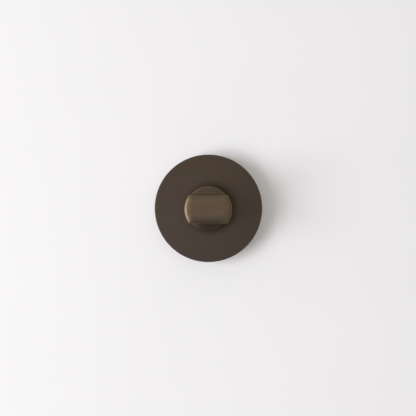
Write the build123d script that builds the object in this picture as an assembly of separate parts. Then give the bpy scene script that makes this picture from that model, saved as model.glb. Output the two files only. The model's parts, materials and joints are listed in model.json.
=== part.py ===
from build123d import *
import math
import os

# A door thumb turn with a round rose, in millimetres.
# The knob's axis is Y. The front faces -Y, +Z is up, and y = 0 is the face of the door.
# A height is a distance out of the door, so a height h lies at y = -h,
# and a negative height is inside the door.

# Rose cover: a turned cup that hides the fixings
ROSE_DIAMETER = 52.0
ROSE_PROJECTION = 8.0
ROSE_FRONT_WALL = 1.8
ROSE_RIM_WALL = 2.0
ROSE_EDGE_ROUNDING = 0.25
ROSE_BACK_CHAMFER = 0.3
ROSE_INNER_CHAMFER = 0.8
ROSE_HOLE_CHAMFER = 0.25
THREAD_RELIEF_DEPTH = 0.4
THREAD_RELIEF_WIDTH = 1.2

# Knob: one turned piece with two milled flats that leave the grip
KNOB_DIAMETER = 21.4
KNOB_GAP = 0.5
BASE_THICKNESS = 4.0
GRIP_LENGTH = 20.0
GRIP_THICKNESS = 12.8
CROWN_INSET = 3.0
CROWN_RADIUS = 20.0
CROWN_ANGLE = 7.0
END_ROUNDING = 1.25
EASED_INSET = 0.9
EASED_RADIUS = 4.0
EASED_ANGLE = 28.0
FLAT_ROUNDING = 0.3
BASE_RIM_CHAMFER = 0.45
GRIP_ROOT_RADIUS = 0.8
KNOB_BACK_CHAMFER = 0.3
NECK_DIAMETER = 11.0
NECK_FLATS = 9.0
NECK_REACH = 6.0
NECK_CHAMFER = 0.4

# Mounting plate: screwed to the door, with a hub that carries the knob
PLATE_THICKNESS = 3.0
PLATE_CHAMFER = 0.5
PLATE_RELIEF = 0.6
PLATE_SEAT_WIDTH = 2.0
HUB_WALL = 2.0
HUB_CHAMFER = 0.8
HUB_WEB = 1.8
SPIGOT_WALL = 1.45
SPIGOT_SETBACK = 0.8

# Bush and washers on the neck
BUSH_WALL = 1.0
BUSH_FLANGE_THICKNESS = 0.9
BUSH_FLANGE_INSET = 0.2
SPRING_WASHER_THICKNESS = 0.35
SPRING_WASHER_HEIGHT = 0.8
REAR_WASHER_THICKNESS = 0.4
REAR_WASHER_WIDTH = 2.8
RING_THICKNESS = 1.0
RING_WIDTH = 1.6
RING_ECCENTRICITY = 0.3
RING_GROOVE_DEPTH = 0.25
RING_GAP = 1.8
RING_EAR_RADIUS = 1.6
RING_EAR_HOLE_RADIUS = 0.75

# Stop: a notched cam on the neck, and a pin in the hub
TURN_ANGLE = 90.0
CAM_THICKNESS = 1.2
CAM_WIDTH = 4.0
CAM_NOTCH_DEPTH = 2.4
STOP_PIN_DIAMETER = 2.0
STOP_PIN_SEAT = 1.3
STOP_PIN_ANGLE = 90.0

# Spindle and its grub screw
SPINDLE_ACROSS_FLATS = 5.0
SPINDLE_REACH = 46.0
SPINDLE_CHAMFER = 0.5
SOCKET_DEPTH = 18.0
PILOT_EXTRA_DEPTH = 3.0
PILOT_POINT_ANGLE = 118.0
GRUB_SCREW_DIAMETER = 3.0
GRUB_SCREW_HEX = 1.5
GRUB_SCREW_HEX_DEPTH = 1.2

# Countersunk wood screws that fix the plate
SCREW_SPACING = 38.0
SCREW_HEAD_DIAMETER = 7.0
SCREW_HEAD_SINK = 0.1
SCREW_SHANK_DIAMETER = 3.5
SCREW_THREAD_DIAMETER = 2.9
SCREW_REACH = 16.0
SCREW_POINT = 3.0
SCREW_RECESS_LENGTH = 3.2
SCREW_RECESS_WIDTH = 0.9
SCREW_RECESS_DEPTH = 1.3

# Clearances, each on one side
RUNNING_CLEARANCE = 0.05
LOOSE_CLEARANCE = 0.1
STOP_CLEARANCE = 0.1
SCREW_CLEARANCE = 0.35
CAM_CLEARANCE = 0.6

# Radii that follow
rose_radius = ROSE_DIAMETER / 2
knob_radius = KNOB_DIAMETER / 2
neck_radius = NECK_DIAMETER / 2
bush_radius = neck_radius + RUNNING_CLEARANCE + BUSH_WALL
spigot_radius = bush_radius + SPIGOT_WALL
flange_radius = spigot_radius - BUSH_FLANGE_INSET
thread_radius = rose_radius - ROSE_RIM_WALL
washer_bore = neck_radius + LOOSE_CLEARANCE
washer_radius = washer_bore + REAR_WASHER_WIDTH
cam_radius = neck_radius + CAM_WIDTH
recess_radius = cam_radius + CAM_CLEARANCE
hub_radius = recess_radius + HUB_WALL
groove_radius = neck_radius - RING_GROOVE_DEPTH
notch_radius = cam_radius - CAM_NOTCH_DEPTH
stop_pin_radius = STOP_PIN_DIAMETER / 2
stop_pin_pitch = (cam_radius + notch_radius) / 2

# Heights of the stack on the neck, from the front to the back
hub_top = ROSE_PROJECTION - ROSE_FRONT_WALL
spigot_top = ROSE_PROJECTION - SPIGOT_SETBACK
flange_top = spigot_top + BUSH_FLANGE_THICKNESS
knob_seat = ROSE_PROJECTION + KNOB_GAP
recess_floor = hub_top - HUB_WEB
cam_back = recess_floor - CAM_THICKNESS
spring_back = cam_back - SPRING_WASHER_HEIGHT
washer_back = spring_back - REAR_WASHER_THICKNESS
ring_back = washer_back - RING_THICKNESS
neck_end = -NECK_REACH
base_top = knob_seat + BASE_THICKNESS
face_height = base_top + GRIP_LENGTH
socket_floor = neck_end + SOCKET_DEPTH


def turned(*corners):
    """A solid turned about the knob's axis, from corners (radius, height, rounding)."""
    points = [(radius, -height) for radius, height, _ in corners]
    roundings = [rounding for _, _, rounding in corners]
    section = make_face(FilletPolyline(*points, radius=roundings, close=True))
    return revolve(section, Axis.Y)


def ring(inner, outer, low, high):
    """A plain ring between two heights."""
    return turned((inner, low, 0), (inner, high, 0), (outer, high, 0), (outer, low, 0))


def plate(outline, low, high):
    """A flat outline, drawn as the viewer sees it, made solid between two heights."""
    return extrude(Plane.XZ.offset(low) * outline, amount=high - low)


def polar(radius, angle):
    """The place at a radius and an angle, anticlockwise from the viewer's right."""
    turn = math.radians(angle)
    return Pos(radius * math.cos(turn), radius * math.sin(turn))


def fall(run, angle):
    """How far a slope falls over a run."""
    return run * math.tan(math.radians(angle))


def rose_cover():
    rim = rose_radius - ROSE_BACK_CHAMFER
    relief_radius = thread_radius + THREAD_RELIEF_DEPTH
    relief_top = PLATE_THICKNESS + THREAD_RELIEF_WIDTH
    hole_radius = spigot_radius + LOOSE_CLEARANCE
    return turned(
        (hole_radius, hub_top, 0),
        (hole_radius, ROSE_PROJECTION - ROSE_HOLE_CHAMFER, 0),
        (hole_radius + ROSE_HOLE_CHAMFER, ROSE_PROJECTION, 0),
        (rose_radius, ROSE_PROJECTION, ROSE_EDGE_ROUNDING),
        (rose_radius, ROSE_BACK_CHAMFER, 0),
        (rim, 0, 0),
        (thread_radius, 0, 0),
        (thread_radius, PLATE_THICKNESS, 0),
        (relief_radius, PLATE_THICKNESS, 0),
        (relief_radius, relief_top, 0),
        (thread_radius, relief_top, 0),
        (thread_radius, hub_top - ROSE_INNER_CHAMFER, 0),
        (thread_radius - ROSE_INNER_CHAMFER, hub_top, 0),
    )


def mounting_plate():
    relief_inner = hub_radius + PLATE_SEAT_WIDTH
    relief_outer = thread_radius - PLATE_SEAT_WIDTH
    body = turned(
        (bush_radius, recess_floor, 0),
        (bush_radius, spigot_top, 0),
        (spigot_radius, spigot_top, 0),
        (spigot_radius, hub_top, 0),
        (hub_radius, hub_top, 0),
        (hub_radius, PLATE_THICKNESS + HUB_CHAMFER, 0),
        (hub_radius + HUB_CHAMFER, PLATE_THICKNESS, 0),
        (thread_radius - PLATE_CHAMFER, PLATE_THICKNESS, 0),
        (thread_radius, PLATE_THICKNESS - PLATE_CHAMFER, 0),
        (thread_radius, 0, 0),
        (relief_outer, 0, 0),
        (relief_outer, PLATE_RELIEF, 0),
        (relief_inner, PLATE_RELIEF, 0),
        (relief_inner, 0, 0),
        (recess_radius, 0, 0),
        (recess_radius, recess_floor, 0),
    )
    for place in screw_places():
        body -= place * screw_hole()
    pin_hole = plate(polar(stop_pin_pitch, STOP_PIN_ANGLE) * Circle(stop_pin_radius),
                     recess_floor, recess_floor + STOP_PIN_SEAT)
    return body - pin_hole


def screw_places():
    """The two fixing screws stand one above the other, clear of a lock across the door."""
    return [Pos(0, 0, side * SCREW_SPACING / 2) for side in (1, -1)]


def screw_hole():
    """A clearance hole with a right-angled countersink that the screw's head fits."""
    hole_radius = SCREW_SHANK_DIAMETER / 2 + SCREW_CLEARANCE
    mouth_radius = SCREW_HEAD_DIAMETER / 2 + SCREW_HEAD_SINK
    return turned(
        (0, -PLATE_RELIEF, 0),
        (hole_radius, -PLATE_RELIEF, 0),
        (hole_radius, PLATE_THICKNESS - (mouth_radius - hole_radius), 0),
        (mouth_radius, PLATE_THICKNESS, 0),
        (0, PLATE_THICKNESS, 0),
    )


def bearing_bush():
    bore = neck_radius + RUNNING_CLEARANCE
    return turned(
        (bore, recess_floor, 0),
        (bore, flange_top, 0),
        (flange_radius, flange_top, 0),
        (flange_radius, spigot_top, 0),
        (bush_radius, spigot_top, 0),
        (bush_radius, recess_floor, 0),
    )


def stop_pin():
    outline = polar(stop_pin_pitch, STOP_PIN_ANGLE) * Circle(stop_pin_radius)
    return plate(outline, cam_back, recess_floor + STOP_PIN_SEAT)


def fixing_screws():
    head_radius = SCREW_HEAD_DIAMETER / 2
    shank_radius = SCREW_SHANK_DIAMETER / 2
    thread_core = SCREW_THREAD_DIAMETER / 2
    head_top = PLATE_THICKNESS - SCREW_HEAD_SINK
    screw = turned(
        (0, head_top, 0),
        (head_radius, head_top, 0),
        (shank_radius, head_top - (head_radius - shank_radius), 0),
        (shank_radius, 0, 0),
        (thread_core, 0, 0),
        (thread_core, SCREW_POINT - SCREW_REACH, 0),
        (0, -SCREW_REACH, 0),
    )
    cross = Rectangle(SCREW_RECESS_LENGTH, SCREW_RECESS_WIDTH)
    cross += Rectangle(SCREW_RECESS_WIDTH, SCREW_RECESS_LENGTH)
    screw -= plate(cross, head_top - SCREW_RECESS_DEPTH, head_top)
    return Compound(children=[place * screw for place in screw_places()])


def turn_knob():
    blank = turned(
        (0, face_height, 0),
        (knob_radius - CROWN_INSET, face_height, CROWN_RADIUS),
        (knob_radius, face_height - fall(CROWN_INSET, CROWN_ANGLE), END_ROUNDING),
        (knob_radius, knob_seat + KNOB_BACK_CHAMFER, 0),
        (knob_radius - KNOB_BACK_CHAMFER, knob_seat, 0),
        (neck_radius, knob_seat, 0),
        (neck_radius, washer_back, 0),
        (groove_radius, washer_back, 0),
        (groove_radius, ring_back, 0),
        (neck_radius, ring_back, 0),
        (neck_radius, neck_end + NECK_CHAMFER, 0),
        (neck_radius - NECK_CHAMFER, neck_end, 0),
        (0, neck_end, 0),
    )
    knob = blank & grip_side() - base_rim_cut()
    for side in (1, -1):
        milled = Rectangle(NECK_DIAMETER, 2 * NECK_DIAMETER - NECK_FLATS)
        knob -= plate(Pos(0, side * NECK_DIAMETER) * milled, neck_end, recess_floor)
    return knob - spindle_socket() - grub_screw_hole()


def grip_side():
    """The knob seen from the side: the full disc, then the grip, which eases off to its two flats."""
    half = GRIP_THICKNESS / 2
    crown = half - CROWN_INSET
    eased = half - EASED_INSET
    eased_height = face_height - fall(CROWN_INSET - EASED_INSET, CROWN_ANGLE)
    edge_height = eased_height - fall(EASED_INSET, EASED_ANGLE)
    corners = [
        (neck_end, -KNOB_DIAMETER, 0),
        (base_top, -KNOB_DIAMETER, 0),
        (base_top, -half, GRIP_ROOT_RADIUS),
        (edge_height, -half, FLAT_ROUNDING),
        (eased_height, -eased, EASED_RADIUS),
        (face_height, -crown, CROWN_RADIUS),
        (face_height, crown, CROWN_RADIUS),
        (eased_height, eased, EASED_RADIUS),
        (edge_height, half, FLAT_ROUNDING),
        (base_top, half, GRIP_ROOT_RADIUS),
        (base_top, KNOB_DIAMETER, 0),
        (neck_end, KNOB_DIAMETER, 0),
    ]
    points = [(-height, across) for height, across, _ in corners]
    roundings = [rounding for _, _, rounding in corners]
    section = make_face(FilletPolyline(*points, radius=roundings, close=True))
    return extrude(Plane.YZ * section, amount=KNOB_DIAMETER, both=True)


def base_rim_cut():
    """What a chamfer takes off the base's front rim, above and below the grip."""
    corner = turned(
        (knob_radius - BASE_RIM_CHAMFER, base_top, 0),
        (knob_radius, base_top, 0),
        (knob_radius, base_top - BASE_RIM_CHAMFER, 0),
    )
    grip = Rectangle(2 * KNOB_DIAMETER, GRIP_THICKNESS + 2 * GRIP_ROOT_RADIUS)
    return corner - plate(grip, knob_seat, face_height)


def spindle_socket():
    """The broached square socket, and the drilled pilot that runs on beyond it."""
    width = SPINDLE_ACROSS_FLATS + 2 * RUNNING_CLEARANCE
    pilot_radius = width / 2
    pilot_end = socket_floor + PILOT_EXTRA_DEPTH
    point = pilot_radius / math.tan(math.radians(PILOT_POINT_ANGLE / 2))
    pilot = turned(
        (0, neck_end, 0),
        (pilot_radius, neck_end, 0),
        (pilot_radius, pilot_end, 0),
        (0, pilot_end + point, 0),
    )
    return plate(Rectangle(width, width), neck_end, socket_floor) + pilot


def grub_screw_place():
    """The grub screw lies across the neck's end, half way along what stands in the door."""
    return Pos(0, NECK_REACH / 2, 0)


def grub_screw_hole():
    bore = Plane.YZ * Circle(GRUB_SCREW_DIAMETER / 2)
    return grub_screw_place() * extrude(bore, amount=NECK_DIAMETER)


def spindle_grub_screw():
    tip = SPINDLE_ACROSS_FLATS / 2
    screw = extrude(Plane.YZ.offset(tip) * Circle(GRUB_SCREW_DIAMETER / 2), amount=neck_radius - tip)
    hexagon = RegularPolygon(GRUB_SCREW_HEX / 2, 6, major_radius=False)
    screw -= extrude(Plane.YZ.offset(neck_radius) * hexagon, amount=-GRUB_SCREW_HEX_DEPTH)
    return grub_screw_place() * screw


def spindle():
    square = Rectangle(SPINDLE_ACROSS_FLATS, SPINDLE_ACROSS_FLATS)
    bar = plate(square, -SPINDLE_REACH, socket_floor)
    ends = bar.faces().filter_by(Axis.Y).edges()
    return chamfer(ends, SPINDLE_CHAMFER)


def thrust_washer():
    return ring(washer_bore, flange_radius, flange_top, knob_seat)


def stop_cam():
    """A disc keyed to the neck's flats. Its notch runs round the pin for the whole turn."""
    across_flats = NECK_FLATS + 2 * RUNNING_CLEARANCE
    bore = Circle(neck_radius + LOOSE_CLEARANCE) & Rectangle(2 * NECK_DIAMETER, across_flats)
    pin_half_angle = math.degrees(math.asin((stop_pin_radius + STOP_CLEARANCE) / stop_pin_pitch))
    start = STOP_PIN_ANGLE - TURN_ANGLE - pin_half_angle
    sweep = TURN_ANGLE + 2 * pin_half_angle
    notch = Rot(0, 0, start) * pie(2 * cam_radius, sweep) - Circle(notch_radius)
    return plate(Circle(cam_radius) - notch - bore, cam_back, recess_floor)


def pie(radius, sweep):
    """A sector of a disc that starts on the viewer's right."""
    arc = CenterArc((0, 0), radius, 0, sweep)
    return make_face(Line((0, 0), arc @ 0) + arc + Line(arc @ 1, (0, 0)))


def spring_washer():
    """A washer bent to a shallow arch, which presses the cam against the hub."""
    arch = SPRING_WASHER_HEIGHT
    wall = SPRING_WASHER_THICKNESS
    bend_radius = (washer_radius**2 + arch**2 - wall**2) / (2 * (arch - wall))
    bend = Pos(-spring_back - bend_radius, 0)
    shell = extrude(Plane.YZ * (bend * Circle(bend_radius) - bend * Circle(bend_radius - wall)),
                    amount=washer_radius, both=True)
    return ring(washer_bore, washer_radius, spring_back, cam_back) & shell


def rear_washer():
    return ring(washer_bore, washer_radius, washer_back, spring_back)


def retaining_ring():
    """An external ring with two eared ends, wider opposite its gap."""
    outer = groove_radius + RING_WIDTH
    outline = Pos(-RING_ECCENTRICITY, 0) * Circle(outer)
    ear_pitch = outer
    ear_angle = math.degrees(math.asin((RING_GAP / 2 + RING_EAR_RADIUS) / ear_pitch))
    for angle in (ear_angle, -ear_angle):
        outline += polar(ear_pitch, angle) * Circle(RING_EAR_RADIUS)
    for angle in (ear_angle, -ear_angle):
        outline -= polar(ear_pitch, angle) * Circle(RING_EAR_HOLE_RADIUS)
    outline -= Circle(groove_radius)
    outline -= Pos(NECK_DIAMETER, 0) * Rectangle(2 * NECK_DIAMETER, RING_GAP)
    return plate(outline, ring_back, washer_back)


NODES = {
    "rose_cover": rose_cover,
    "mounting_plate": mounting_plate,
    "bearing_bush": bearing_bush,
    "stop_pin": stop_pin,
    "fixing_screws": fixing_screws,
    "turn_knob": turn_knob,
    "thrust_washer": thrust_washer,
    "stop_cam": stop_cam,
    "spring_washer": spring_washer,
    "rear_washer": rear_washer,
    "retaining_ring": retaining_ring,
    "spindle": spindle,
    "spindle_grub_screw": spindle_grub_screw,
}

os.makedirs("parts", exist_ok=True)
for name, make in NODES.items():
    export_step(make(), f"parts/{name}.step")
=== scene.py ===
import json
import math

import bmesh
import bpy
from mathutils import Matrix, Vector


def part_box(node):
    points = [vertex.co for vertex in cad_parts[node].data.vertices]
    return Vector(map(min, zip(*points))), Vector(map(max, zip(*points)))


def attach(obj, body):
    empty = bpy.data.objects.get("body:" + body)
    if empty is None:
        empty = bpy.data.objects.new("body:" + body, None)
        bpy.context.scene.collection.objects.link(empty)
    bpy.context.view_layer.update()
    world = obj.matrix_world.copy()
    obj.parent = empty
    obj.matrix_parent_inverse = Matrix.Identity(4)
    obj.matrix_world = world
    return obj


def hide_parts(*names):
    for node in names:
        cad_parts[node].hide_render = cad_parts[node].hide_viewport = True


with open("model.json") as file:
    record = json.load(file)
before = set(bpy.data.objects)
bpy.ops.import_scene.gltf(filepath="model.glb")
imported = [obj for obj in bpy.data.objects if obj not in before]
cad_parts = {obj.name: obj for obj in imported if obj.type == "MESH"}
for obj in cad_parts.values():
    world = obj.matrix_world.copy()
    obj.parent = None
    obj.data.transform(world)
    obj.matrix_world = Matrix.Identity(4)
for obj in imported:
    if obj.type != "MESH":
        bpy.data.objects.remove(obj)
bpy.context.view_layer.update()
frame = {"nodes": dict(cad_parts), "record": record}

# Sizes are in millimetres and become metres when a mesh is made. The knob's axis is Y and the
# front faces -Y. A height is a distance forward of the rose's back: a height h lies at y = -h.
MM = 0.001


def size_of(node):
    """A CAD node's lowest and highest corner in millimetres."""
    low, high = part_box(node)
    return low / MM, high / MM


rose_low, rose_high = size_of("rose_cover")
_, plate_high = size_of("mounting_plate")
knob_low, knob_high = size_of("turn_knob")
ring_low, ring_high = size_of("retaining_ring")
cam_low, _ = size_of("stop_cam")
spindle_low, spindle_high = size_of("spindle")
washer_low, _ = size_of("thrust_washer")
_, screws_high = size_of("fixing_screws")

# Sizes read from the solids
rose_radius = rose_high.x
rose_projection = -rose_low.y
thread_radius = plate_high.x
knob_radius = knob_high.x
face_height = -knob_low.y
neck_end = -knob_high.y
knob_seat = -washer_low.y
recess_floor = -cam_low.y
ring_top = -ring_low.y
ring_back = -ring_high.y
spindle_half = spindle_high.x
socket_floor = -spindle_low.y
screw_reach = screws_high.y
screw_offset = screws_high.z - screws_high.x

# Sizes repeated from the solids' own source
ROSE_FRONT_WALL = 1.8
ROSE_EDGE_ROUNDING = 0.25
ROSE_BACK_CHAMFER = 0.3
ROSE_INNER_CHAMFER = 0.8
ROSE_HOLE_RADIUS = 8.1
ROSE_HOLE_CHAMFER = 0.25
THREAD_RELIEF_DEPTH = 0.4
THREAD_RELIEF_WIDTH = 1.2
PLATE_THICKNESS = 3.0
BASE_THICKNESS = 4.0
GRIP_THICKNESS = 12.8
END_ROUNDING = 1.25
FLAT_ROUNDING = 0.3
CROWN_INSET = 3.0
CROWN_RADIUS = 20.0
CROWN_ANGLE = 7.0
EASED_INSET = 0.9
EASED_RADIUS = 4.0
EASED_ANGLE = 28.0
BASE_RIM_ROUNDING = 0.45
GRIP_ROOT_RADIUS = 0.8
KNOB_BACK_CHAMFER = 0.3
NECK_RADIUS = 5.5
NECK_FLATS = 9.0
NECK_CHAMFER = 0.4
GROOVE_RADIUS = 5.25
SOCKET_CLEARANCE = 0.05
PILOT_EXTRA_DEPTH = 3.0
PILOT_POINT_ANGLE = 118.0
GRUB_SCREW_RADIUS = 1.5
SCREW_CORE_RADIUS = 1.45
SCREW_POINT = 3.0

grip_half = GRIP_THICKNESS / 2
base_top = knob_seat + BASE_THICKNESS

# What only the dressed pieces have. A thread's ridge starts with a share of its height, and its foot
# is sunk into the screw's core.
GRIP_CORNER = 0.8
NECK_CORNER = 0.1
THREAD_PITCH = 1.3
THREAD_CREST = 1.75
THREAD_CREST_WIDTH = 0.08
THREAD_BASE_WIDTH = 0.8
THREAD_SINK = 0.05
THREAD_START = 0.8
THREAD_START_SHARE = 0.02

# How finely round things are divided
ROUND_STEPS = 192
EDGE_STEPS = 10
ARC_STEPS = 18
CORNER_STEPS = 5
FLAT_STEPS = 16
HOLE_STEPS = 48
THREAD_STEPS = 32

# How close points merge, and above which angle an edge stays sharp
MERGE_DISTANCE = 1e-5
SHARP_ANGLE = 35.0


def make_piece(name, mesh_data):
    """Turns a bmesh in millimetres into an object in metres."""
    bmesh.ops.remove_doubles(mesh_data, verts=mesh_data.verts, dist=MERGE_DISTANCE)
    bmesh.ops.recalc_face_normals(mesh_data, faces=mesh_data.faces)
    bmesh.ops.scale(mesh_data, vec=(MM, MM, MM), verts=mesh_data.verts)
    mesh = bpy.data.meshes.new(name)
    mesh_data.to_mesh(mesh)
    mesh_data.free()
    piece = bpy.data.objects.new(name, mesh)
    bpy.context.scene.collection.objects.link(piece)
    return piece


def dress(piece, body, slot, node=None):
    """Smooths a piece, gives it its slot's material, ties it to a body and hides the solid of the node
    that it replaces.
    """
    piece.data.materials.clear()
    piece.data.materials.append(materials[slot])
    piece.data.shade_smooth()
    piece.data.set_sharp_from_angle(angle=math.radians(SHARP_ANGLE))
    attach(piece, body)
    if node:
        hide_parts(node)


def drill(piece, cutter):
    """Takes a cutter's shape out of a piece and deletes the cutter."""
    modifier = piece.modifiers.new("drill", "BOOLEAN")
    modifier.object = cutter
    modifier.solver = "EXACT"
    evaluated = piece.evaluated_get(bpy.context.evaluated_depsgraph_get())
    mesh = bpy.data.meshes.new_from_object(evaluated)
    piece.modifiers.clear()
    piece.data = mesh
    bpy.data.objects.remove(cutter)


def join_rings(mesh_data, first, second):
    """Faces between two rings with as many points."""
    count = len(first)
    for step in range(count):
        following = (step + 1) % count
        mesh_data.faces.new((first[step], first[following], second[following], second[step]))


def round_ring(mesh_data, radius, height):
    """A ring of points round the knob's axis."""
    angles = [math.tau * step / ROUND_STEPS for step in range(ROUND_STEPS)]
    return [mesh_data.verts.new((radius * math.cos(angle), -height, radius * math.sin(angle)))
            for angle in angles]


def rounded(corners):
    """The outline through corners (radius, height, rounding), with arcs at the rounded ones."""
    points = []
    for index, (radius, height, rounding) in enumerate(corners):
        here = Vector((radius, height))
        if not rounding:
            points.append(here)
            continue
        before = (Vector(corners[index - 1][:2]) - here).normalized()
        after = (Vector(corners[(index + 1) % len(corners)][:2]) - here).normalized()
        half = before.angle(after) / 2
        centre = here + (before + after).normalized() * rounding / math.sin(half)
        start = here + before * rounding / math.tan(half) - centre
        end = here + after * rounding / math.tan(half) - centre
        for step in range(EDGE_STEPS + 1):
            points.append(centre + start.slerp(end, step / EDGE_STEPS) * rounding)
    return points


def turned(corners):
    """A closed outline turned about the knob's axis, as a bmesh in millimetres."""
    mesh_data = bmesh.new()
    rings = [round_ring(mesh_data, radius, height) for radius, height in rounded(corners)]
    for index, ring in enumerate(rings):
        join_rings(mesh_data, ring, rings[(index + 1) % len(rings)])
    return mesh_data


# Rose cover


def rose_cover():
    """The rose: a cup with a hole for the neck and a thread's relief inside its rim."""
    hub_top = rose_projection - ROSE_FRONT_WALL
    relief_radius = thread_radius + THREAD_RELIEF_DEPTH
    relief_top = PLATE_THICKNESS + THREAD_RELIEF_WIDTH
    cup = turned([
        (ROSE_HOLE_RADIUS, hub_top, 0),
        (ROSE_HOLE_RADIUS, rose_projection - ROSE_HOLE_CHAMFER, 0),
        (ROSE_HOLE_RADIUS + ROSE_HOLE_CHAMFER, rose_projection, 0),
        (rose_radius, rose_projection, ROSE_EDGE_ROUNDING),
        (rose_radius, ROSE_BACK_CHAMFER, 0),
        (rose_radius - ROSE_BACK_CHAMFER, 0, 0),
        (thread_radius, 0, 0),
        (thread_radius, PLATE_THICKNESS, 0),
        (relief_radius, PLATE_THICKNESS, 0),
        (relief_radius, relief_top, 0),
        (thread_radius, relief_top, 0),
        (thread_radius, hub_top - ROSE_INNER_CHAMFER, 0),
        (thread_radius - ROSE_INNER_CHAMFER, hub_top, 0),
    ])
    dress(make_piece("rose_cover_turned", cup), "rose", "rose_bronze", "rose_cover")


# Knob: cross-sections from the face back to the end of the neck, joined one to the next


def cut_circle(radius, half, corner):
    """Points (x, z) round a circle cut by flats at z = half and -half, with rounded corners."""
    reach = math.asin((half - corner) / (radius - corner))
    corner_x = (radius - corner) * math.cos(reach)
    quarter = []
    for step in range(ARC_STEPS + 1):
        angle = reach * step / ARC_STEPS
        quarter.append((radius * math.cos(angle), radius * math.sin(angle)))
    for step in range(1, CORNER_STEPS + 1):
        angle = reach + (math.pi / 2 - reach) * step / CORNER_STEPS
        quarter.append((corner_x + corner * math.cos(angle), half - corner + corner * math.sin(angle)))
    for step in range(1, FLAT_STEPS + 1):
        quarter.append((corner_x * (1 - step / FLAT_STEPS), half))
    upper = quarter + [(-x, z) for x, z in reversed(quarter[:-1])]
    return upper + [(x, -z) for x, z in reversed(upper[1:-1])]


def on_circle(points, radius):
    """The points moved along their radii on to a circle."""
    return [(radius * x / math.hypot(x, z), radius * z / math.hypot(x, z)) for x, z in points]


def on_square(points, half):
    """The points moved along their radii on to a square, with one point at each corner."""
    moved = [(half * x / max(abs(x), abs(z)), half * z / max(abs(x), abs(z))) for x, z in points]
    for corner in ((half, half), (-half, half), (-half, -half), (half, -half)):
        nearest = min(range(len(moved)), key=lambda index: math.dist(moved[index], corner))
        moved[nearest] = corner
    return moved


def level(points, height):
    """A cross-section whose points all have one height."""
    return [(x, z, height) for x, z in points]


def fall(run, angle):
    """How far a slope falls over a run."""
    return run * math.tan(math.radians(angle))


def face_edge(*corners):
    """The face's section from its crown out over an edge: distances from the axis, and drops."""
    outline = rounded([(0, 0, 0), *[(reach, -drop, rounding) for reach, drop, rounding in corners],
                       (corners[-1][0], -face_height, 0)])
    return [(reach, -height) for reach, height in outline[1:-1]]


def reach_at(section, drop):
    """How far a crowned edge's section reaches at a drop below the face."""
    for (near, above), (far, below) in zip(section, section[1:]):
        if above <= drop <= below:
            return near + (far - near) * (drop - above) / (below - above)
    return section[-1][0]


def grip_sections():
    """The grip: its crowned face, its eased edges, its sides and the coves at its foot."""
    ends = face_edge((knob_radius - CROWN_INSET, 0, CROWN_RADIUS),
                     (knob_radius, fall(CROWN_INSET, CROWN_ANGLE), END_ROUNDING))
    eased_drop = fall(CROWN_INSET - EASED_INSET, CROWN_ANGLE)
    flats = face_edge((grip_half - CROWN_INSET, 0, CROWN_RADIUS),
                      (grip_half - EASED_INSET, eased_drop, EASED_RADIUS),
                      (grip_half, eased_drop + fall(EASED_INSET, EASED_ANGLE), FLAT_ROUNDING))
    sections = []
    for drop in sorted({drop for reach, drop in ends + flats}):
        outline = cut_circle(reach_at(ends, drop), reach_at(flats, drop), GRIP_CORNER)
        sections.append(level(outline, face_height - drop))
    for step in range(EDGE_STEPS + 1):
        angle = math.pi / 2 * step / EDGE_STEPS
        outset = GRIP_ROOT_RADIUS * (1 - math.cos(angle))
        rise = GRIP_ROOT_RADIUS * (1 - math.sin(angle))
        sections.append(level(cut_circle(knob_radius, grip_half + outset, GRIP_CORNER), base_top + rise))
    return sections


def base_sections():
    """The base: its rim, rounded except where the grip stands, its side and its back."""
    root = grip_half + GRIP_ROOT_RADIUS
    rim = on_circle(cut_circle(knob_radius, root, GRIP_CORNER), knob_radius)
    cuts = [min(BASE_RIM_ROUNDING, max(0, abs(z) - root)) for x, z in rim]
    sections = []
    for step in range(EDGE_STEPS + 1):
        angle = math.pi / 2 * step / EDGE_STEPS
        inset = (1 - math.sin(angle)) / knob_radius
        drop = 1 - math.cos(angle)
        sections.append([(x * (1 - cut * inset), z * (1 - cut * inset), base_top - cut * drop)
                         for (x, z), cut in zip(rim, cuts)])
    sections.append(level(rim, knob_seat + KNOB_BACK_CHAMFER))
    sections.append(level(on_circle(rim, knob_radius - KNOB_BACK_CHAMFER), knob_seat))
    return sections


def neck_sections():
    """The neck with its flats and its groove, then its square socket and the pilot inside."""
    neck = cut_circle(NECK_RADIUS, NECK_FLATS / 2, NECK_CORNER)
    groove = cut_circle(GROOVE_RADIUS, NECK_FLATS / 2, NECK_CORNER)
    tip = cut_circle(NECK_RADIUS - NECK_CHAMFER, NECK_FLATS / 2, NECK_CORNER)
    socket_half = spindle_half + SOCKET_CLEARANCE
    socket = on_square(neck, socket_half)
    pilot = on_circle(neck, socket_half)
    pilot_end = socket_floor + PILOT_EXTRA_DEPTH
    pilot_tip = pilot_end + socket_half / math.tan(math.radians(PILOT_POINT_ANGLE / 2))
    outlines = (
        (on_circle(neck, NECK_RADIUS), knob_seat),
        (on_circle(neck, NECK_RADIUS), recess_floor),
        (neck, recess_floor),
        (neck, ring_top),
        (groove, ring_top),
        (groove, ring_back),
        (neck, ring_back),
        (neck, neck_end + NECK_CHAMFER),
        (tip, neck_end),
        (socket, neck_end),
        (socket, socket_floor),
        (pilot, socket_floor),
        (pilot, pilot_end),
        ([(0, 0)] * len(pilot), pilot_tip),
    )
    return [level(outline, height) for outline, height in outlines]


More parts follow.
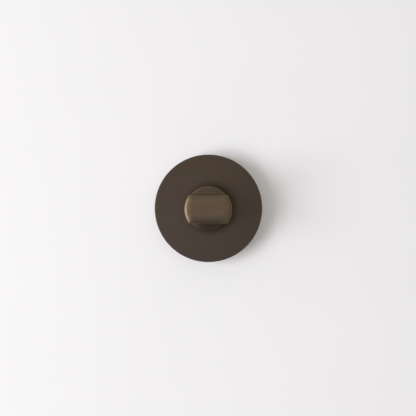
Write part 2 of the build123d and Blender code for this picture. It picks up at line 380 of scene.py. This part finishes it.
def turn_knob():
    """The knob, with the hole for its grub screw drilled across the neck."""
    mesh_data = bmesh.new()
    rings = [[mesh_data.verts.new((x, -height, z)) for x, z, height in section]
             for section in grip_sections() + base_sections() + neck_sections()]
    mesh_data.faces.new(rings[0])
    for first, second in zip(rings, rings[1:]):
        join_rings(mesh_data, first, second)
    knob = make_piece("turn_knob_milled", mesh_data)

    hole_height = neck_end / 2
    hole = bmesh.new()
    bmesh.ops.create_cone(hole, cap_ends=True, segments=HOLE_STEPS, radius1=GRUB_SCREW_RADIUS,
                          radius2=GRUB_SCREW_RADIUS, depth=NECK_RADIUS,
                          matrix=Matrix.Translation((NECK_RADIUS, -hole_height, 0))
                          @ Matrix.Rotation(math.pi / 2, 4, "Y"))
    drill(knob, make_piece("grub_screw_hole", hole))
    dress(knob, "turn", "knob_bronze", "turn_knob")


# Threads of the two wood screws


def wood_thread(name, offset):
    """A right-handed ridge round the screw at z = offset, which dies out along the point."""
    mesh_data = bmesh.new()
    point_start = screw_reach - SCREW_POINT
    turns = (screw_reach - THREAD_BASE_WIDTH - THREAD_START) / THREAD_PITCH
    rings = []
    count = round(turns * THREAD_STEPS)
    for step in range(count + 1):
        angle = math.tau * step / THREAD_STEPS
        depth = THREAD_START + THREAD_PITCH * step / THREAD_STEPS
        taper = min(1, (screw_reach - depth) / SCREW_POINT) if depth > point_start else 1
        runout = min(1, step / THREAD_STEPS + THREAD_START_SHARE)
        foot = SCREW_CORE_RADIUS * taper - THREAD_SINK
        crest = foot + (THREAD_CREST - SCREW_CORE_RADIUS + THREAD_SINK) * runout
        ridge = ((foot, -THREAD_BASE_WIDTH / 2), (crest, -THREAD_CREST_WIDTH / 2),
                 (crest, THREAD_CREST_WIDTH / 2), (foot, THREAD_BASE_WIDTH / 2))
        sine = math.sin(angle)
        cosine = math.cos(angle)
        rings.append([mesh_data.verts.new((radius * sine, depth + along, offset + radius * cosine))
                      for radius, along in ridge])
    for first, second in zip(rings, rings[1:]):
        join_rings(mesh_data, first, second)
    mesh_data.faces.new(rings[0])
    mesh_data.faces.new(rings[-1])
    dress(make_piece(name, mesh_data), "rose", "zinc_steel")


# Materials: helpers


def new_material(name):
    """An empty material with its tree and its shader."""
    material = bpy.data.materials.new(name)
    material.use_nodes = True
    return material, material.node_tree, material.node_tree.nodes["Principled BSDF"]


def add(tree, kind, inputs=None, **settings):
    """A new node with its settings, and its inputs set to values or linked from sockets."""
    node = tree.nodes.new(kind)
    for key, value in settings.items():
        setattr(node, key, value)
    for key, value in (inputs or {}).items():
        if isinstance(value, bpy.types.NodeSocket):
            tree.links.new(value, node.inputs[key])
        else:
            node.inputs[key].default_value = value
    return node


def place(tree, scale=(1, 1, 1)):
    """The piece's own coordinates in millimetres, multiplied along each axis."""
    source = add(tree, "ShaderNodeTexCoord")
    factors = tuple(factor / MM for factor in scale)
    return add(tree, "ShaderNodeVectorMath", {0: source.outputs["Object"], 1: factors},
               operation="MULTIPLY").outputs["Vector"]


def math_node(tree, operation, first, second=0, clamp=False):
    """One number made from one or two others."""
    return add(tree, "ShaderNodeMath", {0: first, 1: second}, operation=operation,
               use_clamp=clamp).outputs["Value"]


def vector_value(tree, operation, first, second=(0, 0, 0)):
    """The one number that a vector operation gives, such as a length or a distance."""
    return add(tree, "ShaderNodeVectorMath", {0: first, 1: second}, operation=operation).outputs["Value"]


def parts_of(tree, vector):
    """The sockets X, Y and Z of a vector."""
    return add(tree, "ShaderNodeSeparateXYZ", {"Vector": vector}).outputs


def from_axis(tree):
    """The distance from the knob's axis."""
    return vector_value(tree, "LENGTH", place(tree, (1, 0, 1)))


def turned_place(tree, across, along):
    """Coordinates that change fast across the marks of turning and slowly along them."""
    parts = parts_of(tree, place(tree))
    return add(tree, "ShaderNodeCombineXYZ", {
        "X": math_node(tree, "MULTIPLY", from_axis(tree), across),
        "Y": math_node(tree, "MULTIPLY", parts["Y"], across),
        "Z": math_node(tree, "MULTIPLY", parts["X"], along),
    }).outputs["Vector"]


def noise(tree, vector, scale=1.0, detail=3.0, roughness=0.55):
    """A soft random pattern from 0 to 1."""
    return add(tree, "ShaderNodeTexNoise", {"Vector": vector, "Scale": scale, "Detail": detail,
                                            "Roughness": roughness}).outputs["Fac"]


def mix(tree, factor, first, second):
    """A factor or colour between two, by a factor."""
    kind = "RGBA" if isinstance(first, tuple) or first.type == "RGBA" else "FLOAT"
    names = {"RGBA": ("A_Color", "B_Color", "Result_Color"),
             "FLOAT": ("A_Float", "B_Float", "Result_Float")}
    node = add(tree, "ShaderNodeMix", data_type=kind)
    sockets = {socket.identifier: socket for socket in list(node.inputs) + list(node.outputs)}
    for socket, value in ((sockets["Factor_Float"], factor), (sockets[names[kind][0]], first),
                          (sockets[names[kind][1]], second)):
        if isinstance(value, bpy.types.NodeSocket):
            tree.links.new(value, socket)
        else:
            socket.default_value = (*value, 1) if isinstance(value, tuple) else value
    return sockets[names[kind][2]]


def span(tree, factor, low, high, start=0.3, end=0.7):
    """Low where the factor is at start, high where it is at end, and straight in between."""
    return add(tree, "ShaderNodeMapRange", {"Value": factor, "From Min": start, "From Max": end,
                                            "To Min": low, "To Max": high}).outputs["Result"]


def ramp(tree, value, levels):
    """A level that follows a value from -1 to 1, straight from each of the given pairs to the next."""
    node = add(tree, "ShaderNodeValToRGB", {"Fac": span(tree, value, 0, 1, -1, 1)})
    stops = node.color_ramp.elements
    stops[1].position = 1
    while len(stops) < len(levels):
        stops.new(0.5)
    for stop, (position, brightness) in zip(stops, levels):
        stop.position = (position + 1) / 2
        stop.color = (brightness, brightness, brightness, 1)
    return node.outputs["Color"]


def bump(tree, height, depth, normal=None):
    """A bump from a height of 0 to 1, with its depth in millimetres."""
    inputs = {"Height": height, "Distance": depth * MM}
    if normal:
        inputs["Normal"] = normal
    return add(tree, "ShaderNodeBump", inputs).outputs["Normal"]


def wire(tree, shader, **sockets):
    """Sets or links the shader's inputs. A name's underscores stand for spaces."""
    for name, value in sockets.items():
        socket = shader.inputs[name.replace("_", " ")]
        if isinstance(value, bpy.types.NodeSocket):
            tree.links.new(value, socket)
        else:
            socket.default_value = (*value, 1) if isinstance(value, tuple) else value


def facing_sideways(tree):
    """1 where the surface faces along X, on the ends of the grip and its rounding, and 0 elsewhere."""
    normal = add(tree, "ShaderNodeTexCoord").outputs["Normal"]
    across = math_node(tree, "ABSOLUTE", parts_of(tree, normal)["X"])
    return span(tree, across, 0, 1, 0.08, 0.25)


# Patina of the rose

# Its colours: from the rose's foot to its top with a painted reflection, in its clouds, with painted
# shade towards its upper left, and with the knob's painted shadow
PATINA_FOOT_WITH_REFLECTION = (0.118, 0.091, 0.081)
PATINA_TOP_WITH_REFLECTION = (0.106, 0.076, 0.058)
PATINA_DARKER = (0.096, 0.070, 0.057)
PATINA_PATCH = (0.103, 0.085, 0.064)
PATINA_UPPER_LEFT_SHADE = (0.088, 0.064, 0.051)
KNOB_SHADOW_ON_ROSE = (0.036, 0.027, 0.020)

# Where they change: directions, the centre of the knob's painted shadow, and how far along or from them,
# in millimetres
UPWARD = (0.2, 0, 0.98)
UP_AND_LEFT = (-0.94, 0, 0.34)
KNOB_SHADOW_CENTRE = (1.3, 0, 0.4)
foot_to_top = (6 - rose_radius, rose_radius - 6)
upper_left_shade_zone = (rose_radius - 16, rose_radius - 2)
knob_shadow_zone = (knob_radius - 0.9, knob_radius + 3.3)


def rose_bronze():
    """Dark patina, satin, with a fine grain. A painted reflection makes it cooler towards its foot,
    painted shade darkens its upper left, and the knob's painted shadow darkens it round the knob, most
    to the knob's right.
    """
    material, tree, shader = new_material("rose_bronze")
    # Painted reflection: the patina is lighter and cooler towards the foot, and darker and warmer
    # towards the top.
    reflection_drift = span(tree, vector_value(tree, "DOT_PRODUCT", place(tree), UPWARD), 0, 1, *foot_to_top)
    colour = mix(tree, reflection_drift, PATINA_FOOT_WITH_REFLECTION, PATINA_TOP_WITH_REFLECTION)
    slow = noise(tree, place(tree), scale=0.035, detail=3)
    colour = mix(tree, span(tree, slow, 0, 0.5), colour, PATINA_DARKER)
    patches = noise(tree, place(tree), scale=0.11, detail=2)
    colour = mix(tree, span(tree, patches, 0, 0.45), colour, PATINA_PATCH)
    # Painted shade: the patina darkens towards the rose's upper left.
    edge = vector_value(tree, "DOT_PRODUCT", place(tree), UP_AND_LEFT)
    colour = mix(tree, span(tree, edge, 0, 0.6, *upper_left_shade_zone), colour, PATINA_UPPER_LEFT_SHADE)
    # Painted shadow of the knob: dark round its foot and darkest to its right.
    knob_shadow = vector_value(tree, "DISTANCE", place(tree, (1, 0, 1)), KNOB_SHADOW_CENTRE)
    colour = mix(tree, span(tree, knob_shadow, 0.75, 0, *knob_shadow_zone), colour, KNOB_SHADOW_ON_ROSE)
    cloudy = noise(tree, place(tree), scale=0.25, detail=4)
    grain = noise(tree, place(tree), scale=9, detail=2)
    marks = noise(tree, turned_place(tree, across=3.5, along=0.05), detail=2)
    roughness = math_node(tree, "ADD", span(tree, cloudy, 0.35, 0.41), span(tree, grain, -0.02, 0.02))
    surface = bump(tree, marks, 0.002)
    surface = bump(tree, grain, 0.0015, surface)
    wire(tree, shader, Base_Color=colour, Metallic=0.98, Roughness=roughness, Normal=surface)
    return material


# Bronze of the knob

# Its colours on the grip and in the recesses above and below it, with painted reflections, painted shade
# and the grip's painted shadow
BRONZE = (0.165, 0.117, 0.082)
BRONZE_CLOUD = (0.151, 0.107, 0.074)
BRONZE_STREAK = (0.131, 0.093, 0.064)
BRONZE_BRUSHED = (0.199, 0.145, 0.099)
BRONZE_COOL_REFLECTION = (0.168, 0.131, 0.108)
BRONZE_UNDERSIDE_SHADE = (0.060, 0.044, 0.032)
BRONZE_WORN = (0.188, 0.130, 0.064)
BRONZE_ENDS = (0.164, 0.126, 0.083)
RECESS = (0.111, 0.081, 0.057)
RECESS_RIM = (0.165, 0.117, 0.074)
RECESS_GRIP_REFLECTION = (0.172, 0.125, 0.088)
RECESS_SHADED = (0.064, 0.047, 0.033)
ROOT_PATINA_AND_SHADE = (0.030, 0.019, 0.010)

# Where they change: distances above or below the middle, from the axis and forward of the rose's back
DOWN_AND_RIGHT = (0.5, 0, -0.87)
SHADED_ZONE = (2.5, 6.5)
cool_reflection_zone = (0.9 - grip_half, 4.9 - grip_half)
underside_shade_zone = (0.1 - grip_half, 0.3 - grip_half)
root_patina_and_shade_zone = (grip_half + 0.1, grip_half + 0.7)
grip_reflection_zone = (grip_half + 0.6, grip_half + 2.2)
worn_radii = (knob_radius - 3.7, knob_radius - 0.3)
dull_radii = (knob_radius - 2.7, knob_radius - 0.3)
end_radii = (knob_radius - 1.0, knob_radius - 0.4)
rim_radii = (knob_radius - 1.0, knob_radius - 0.2)
grip_foot_heights = (base_top + 0.1, base_top + 1.2)


def brushing(tree, sideways, across, along, detail):
    """Lines along the grip, which run round its ends where the surface faces sideways."""
    straight = noise(tree, place(tree, (along, across, across)), detail=detail)
    round_ends = noise(tree, turned_place(tree, across, along), detail=detail)
    return mix(tree, sideways, straight, round_ends)


def knob_bronze():
    """Antique bronze, brushed along the grip, worn golden at its ends and darker in the recesses, with
    painted reflections, painted shade and the grip's painted shadow.
    """
    material, tree, shader = new_material("knob_bronze")
    radius = from_axis(tree)
    parts = parts_of(tree, place(tree, (1, -1, 1)))
    aside = math_node(tree, "ABSOLUTE", parts["Z"])
    sideways = facing_sideways(tree)
    fine = brushing(tree, sideways, across=3.2, along=0.04, detail=3)
    broad = brushing(tree, sideways, across=0.8, along=0.03, detail=2)
    cloudy = noise(tree, place(tree), scale=0.16, detail=3)

    grip = mix(tree, span(tree, cloudy, 0, 1), BRONZE, BRONZE_CLOUD)
    grip = mix(tree, span(tree, broad, 0, 0.7), grip, BRONZE_STREAK)
    grip = mix(tree, span(tree, fine, 0, 0.55), grip, BRONZE_BRUSHED)
    # Painted reflection: a cooler tint towards the bottom of the grip's face.
    grip = mix(tree, span(tree, parts["Z"], 0.7, 0, *cool_reflection_zone), grip, BRONZE_COOL_REFLECTION)
    # Painted shade: the grip's lower edge and underside are made dark.
    grip = mix(tree, span(tree, parts["Z"], 0.9, 0, *underside_shade_zone), grip, BRONZE_UNDERSIDE_SHADE)
    grip = mix(tree, span(tree, radius, 0, 0.8, *worn_radii), grip, BRONZE_WORN)
    grip = mix(tree, span(tree, radius, 0, 0.9, *end_radii), grip, BRONZE_ENDS)

    # Painted shadow of the grip: the base darkens below the grip and towards its lower right.
    shaded = vector_value(tree, "DOT_PRODUCT", place(tree), DOWN_AND_RIGHT)
    recess = mix(tree, span(tree, radius, 0, 0.8, *rim_radii), RECESS, RECESS_RIM)
    # Painted reflection: the base is lighter in a band beside the grip's foot.
    recess = mix(tree, span(tree, aside, 0.5, 0, *grip_reflection_zone), recess, RECESS_GRIP_REFLECTION)
    recess = mix(tree, span(tree, shaded, 0, 0.95, *SHADED_ZONE), recess, RECESS_SHADED)
    # Dark patina with painted shade in the crease along the grip's root.
    recess = mix(tree, span(tree, aside, 0.95, 0, *root_patina_and_shade_zone), recess, ROOT_PATINA_AND_SHADE)

    colour = mix(tree, span(tree, parts["Y"], 0, 1, *grip_foot_heights), recess, grip)
    roughness = math_node(tree, "ADD", span(tree, broad, 0.29, 0.36), span(tree, fine, -0.03, 0.03))
    roughness = math_node(tree, "ADD", roughness, span(tree, radius, 0, 0.2, *dull_radii))
    wire(tree, shader, Base_Color=colour, Metallic=0.97, Roughness=roughness,
         Normal=bump(tree, fine, 0.004), Coat_Weight=0.1, Coat_Roughness=0.25)
    return material


# Plainer materials of the hidden pieces


def raw_brass():
    """Unfinished turned brass, slightly dulled, with concentric tool marks."""
    material, tree, shader = new_material("raw_brass")
    marks = noise(tree, turned_place(tree, across=5, along=0.02), detail=2)
    stains = noise(tree, place(tree), scale=0.3, detail=4)
    colour = mix(tree, span(tree, stains, 0, 1), (0.60, 0.45, 0.21), (0.48, 0.34, 0.15))
    wire(tree, shader, Base_Color=colour, Metallic=0.95, Roughness=span(tree, marks, 0.24, 0.36),
         Normal=bump(tree, marks, 0.006))
    return material


def white_acetal():
    """Moulded plastic, matte, with the faint texture of its mould."""
    material, tree, shader = new_material("white_acetal")
    texture = noise(tree, place(tree), scale=6, detail=3)
    shade = noise(tree, place(tree), scale=0.4)
    colour = mix(tree, span(tree, shade, 0, 1), (0.80, 0.79, 0.75), (0.74, 0.73, 0.68))
    wire(tree, shader, Base_Color=colour, Roughness=span(tree, texture, 0.42, 0.55),
         Normal=bump(tree, texture, 0.004))
    return material


def bright_steel():
    """Pressed and ground steel, with straight grinding marks."""
    material, tree, shader = new_material("bright_steel")
    marks = noise(tree, place(tree, (0.1, 5, 5)), detail=2)
    colour = mix(tree, span(tree, marks, 0, 1), (0.52, 0.52, 0.51), (0.44, 0.44, 0.44))
    wire(tree, shader, Base_Color=colour, Metallic=1.0, Roughness=span(tree, marks, 0.25, 0.38),
         Normal=bump(tree, marks, 0.004))
    return material


def zinc_steel():
    """Drawn steel with bright zinc plate, faintly clouded, with draw lines along Y."""
    material, tree, shader = new_material("zinc_steel")
    clouds = noise(tree, place(tree), scale=0.5, detail=4)
    lines = noise(tree, place(tree, (4, 0.08, 4)), detail=2)
    colour = mix(tree, span(tree, clouds, 0, 1), (0.63, 0.64, 0.65), (0.53, 0.54, 0.57))
    wire(tree, shader, Base_Color=colour, Metallic=1.0, Roughness=span(tree, clouds, 0.24, 0.36),
         Normal=bump(tree, lines, 0.006))
    return material


def spring_steel():
    """Phosphated spring steel, dark and dull, with a crystalline grain."""
    material, tree, shader = new_material("spring_steel")
    grain = noise(tree, place(tree), scale=7, detail=3)
    colour = mix(tree, span(tree, grain, 0, 1), (0.10, 0.095, 0.09), (0.07, 0.066, 0.062))
    wire(tree, shader, Base_Color=colour, Metallic=0.7, Roughness=span(tree, grain, 0.42, 0.56),
         Normal=bump(tree, grain, 0.004))
    return material


materials = {make.__name__: make() for make in (rose_bronze, knob_bronze, raw_brass, white_acetal,
                                                 bright_steel, zinc_steel, spring_steel)}

# The dressed pieces, and the solids that stay

rose_cover()
turn_knob()
wood_thread("upper_screw_thread", screw_offset)
wood_thread("lower_screw_thread", -screw_offset)

for row in frame["record"]["subparts"]:
    for slot in frame["nodes"][row["node"]].material_slots:
        slot.material = materials[row["material_slot"]]

# Backdrop: a plain white wall with a hole behind the rose, solid from the front and open from behind

WALL_HALF = 2000.0
WALL_GAP = 0.1
WALL_HOLE_INSET = 0.5
WALL_COLOUR = (0.91, 0.897, 0.902)
WALL_PATCH_SHADE = 0.99
WALL_SHOWN_WHITE = 0.16


def wall_paint():
    """White paint, shown a little whiter to the camera and in reflections, and open from behind."""
    material, tree, shader = new_material("backdrop_white")
    patches = noise(tree, place(tree), scale=0.02, detail=2)
    darker = tuple(WALL_PATCH_SHADE * value for value in WALL_COLOUR)
    colour = mix(tree, span(tree, patches, 0, 1), WALL_COLOUR, darker)
    wire(tree, shader, Base_Color=colour, Roughness=0.6, Specular_IOR_Level=0.2)
    path = add(tree, "ShaderNodeLightPath").outputs
    seen = math_node(tree, "ADD", path["Is Camera Ray"], path["Is Glossy Ray"], clamp=True)
    seen = math_node(tree, "ADD", seen, path["Is Transmission Ray"], clamp=True)
    whiteness = math_node(tree, "MULTIPLY", seen, WALL_SHOWN_WHITE)
    white = add(tree, "ShaderNodeEmission", {"Color": colour}).outputs["Emission"]
    painted = add(tree, "ShaderNodeMixShader",
                  {0: whiteness, 1: shader.outputs["BSDF"], 2: white}).outputs["Shader"]
    behind = add(tree, "ShaderNodeNewGeometry").outputs["Backfacing"]
    clear = add(tree, "ShaderNodeBsdfTransparent").outputs["BSDF"]
    open_here = math_node(tree, "MULTIPLY", behind, path["Is Camera Ray"])
    shown = add(tree, "ShaderNodeMixShader", {0: open_here, 1: painted, 2: clear}).outputs["Shader"]
    tree.links.new(shown, tree.nodes["Material Output"].inputs["Surface"])
    return material


def backdrop_wall():
    """A wide flat ring just behind the rose, which faces the front."""
    mesh_data = bmesh.new()
    inner = round_ring(mesh_data, rose_radius - WALL_HOLE_INSET, -WALL_GAP)
    outer = round_ring(mesh_data, WALL_HALF, -WALL_GAP)
    join_rings(mesh_data, outer, inner)
    wall = make_piece("backdrop", mesh_data)
    if wall.data.polygons[0].normal.y > 0:
        wall.data.flip_normals()
    wall.data.materials.append(wall_paint())


backdrop_wall()

# Light: a soft room, darker towards its floor, and a broad window light from the left

ROOM_UPWARD = ((-1.0, 0.31), (-0.5, 0.35), (-0.15, 0.76), (0.05, 0.92), (0.4, 0.78), (1.0, 0.58))
ROOM_RIGHTWARD = ((-1.0, 0.78), (-0.45, 0.84), (0.0, 0.83), (0.4, 0.72), (1.0, 0.20))
ROOM_TINT = (1.0, 0.963, 0.885)
ROOM_BEHIND = (0.8, 0.8, 0.8)
DAYLIGHT = (0.96, 0.98, 1.05)
WHITE = (1, 1, 1)


def room_light():
    """A world whose brightness follows how far a direction points up (1) or down (-1) between the
    front and the wall's plane, and how far it points right (1) or left (-1)."""
    world = bpy.data.worlds.new("room")
    world.use_nodes = True
    bpy.context.scene.world = world
    tree = world.node_tree
    parts = parts_of(tree, add(tree, "ShaderNodeTexCoord").outputs["Generated"])
    facing = math_node(tree, "MULTIPLY", math_node(tree, "ABSOLUTE", parts["Y"]), 2)
    upward = math_node(tree, "MULTIPLY", parts["Z"], facing)
    levels = math_node(tree, "MULTIPLY", ramp(tree, upward, ROOM_UPWARD),
                       ramp(tree, parts["X"], ROOM_RIGHTWARD))
    behind = span(tree, parts["Y"], 0, 1, 0, 0.5)
    colour = mix(tree, behind, mix(tree, levels, (0, 0, 0), ROOM_TINT), ROOM_BEHIND)
    tree.links.new(colour, tree.nodes["Background"].inputs["Color"])


def area_light(name, place_mm, target_mm, width, height, power, colour):
    """A rectangular lamp, with its places and sizes in millimetres."""
    lamp = bpy.data.lights.new(name, "AREA")
    lamp.shape = "RECTANGLE"
    lamp.size = width * MM
    lamp.size_y = height * MM
    lamp.energy = power
    lamp.color = colour
    holder = bpy.data.objects.new(name, lamp)
    holder.location = Vector(place_mm) * MM
    aim = Vector(target_mm) - Vector(place_mm)
    holder.rotation_euler = aim.to_track_quat("-Z", "Y").to_euler()
    holder.visible_camera = False
    bpy.context.scene.collection.objects.link(holder)


def around(distance, angle, lift):
    """A place at an angle round the wall's face, anticlockwise from the right, lifted off it."""
    flat = distance * math.cos(math.radians(lift))
    return (flat * math.cos(math.radians(angle)), -distance * math.sin(math.radians(lift)),
            flat * math.sin(math.radians(angle)))


room_light()
area_light("window", around(distance=1600, angle=189, lift=38), (0, 0, 0),
           width=760, height=1100, power=24.0, colour=DAYLIGHT)
area_light("window_low", around(distance=1600, angle=175, lift=12), (0, 0, 0),
           width=400, height=1200, power=2.5, colour=DAYLIGHT)
area_light("rear_fill", around(distance=900, angle=60, lift=-40), (0, 20, 0),
           width=500, height=500, power=2.0, colour=WHITE)

# Camera: the picture's frame, found from the rose's place and size in it

PICTURE_SIZE = 416
ROSE_CENTRE_PIXEL = (208.42, 208.35)
ROSE_RADIUS_PIXELS = 53.81
SENSOR_WIDTH = 36.0

# Where the camera stands: forward of the rose's back, and right of the knob's axis and above it
CAMERA_DISTANCE = 320.0
CAMERA_RIGHT = 1.87
CAMERA_UP = 5.1


def photo_camera():
    """A level camera that looks straight at the wall, shifted to the picture's frame."""
    reach = CAMERA_DISTANCE - rose_projection
    pixels_per_slope = ROSE_RADIUS_PIXELS * reach / rose_radius
    axis_x = ROSE_CENTRE_PIXEL[0] + CAMERA_RIGHT * pixels_per_slope / reach
    axis_y = ROSE_CENTRE_PIXEL[1] - CAMERA_UP * pixels_per_slope / reach
    data = bpy.data.cameras.new("camera")
    data.sensor_width = SENSOR_WIDTH
    data.lens = pixels_per_slope * SENSOR_WIDTH / PICTURE_SIZE
    data.shift_x = 0.5 - axis_x / PICTURE_SIZE
    data.shift_y = axis_y / PICTURE_SIZE - 0.5
    data.clip_start = 0.01
    camera = bpy.data.objects.new("camera", data)
    camera.location = Vector((CAMERA_RIGHT, -CAMERA_DISTANCE, CAMERA_UP)) * MM
    camera.rotation_euler = (math.pi / 2, 0, 0)
    bpy.context.scene.collection.objects.link(camera)
    bpy.context.scene.camera = camera


photo_camera()
bpy.context.scene.view_settings.view_transform = "Standard"
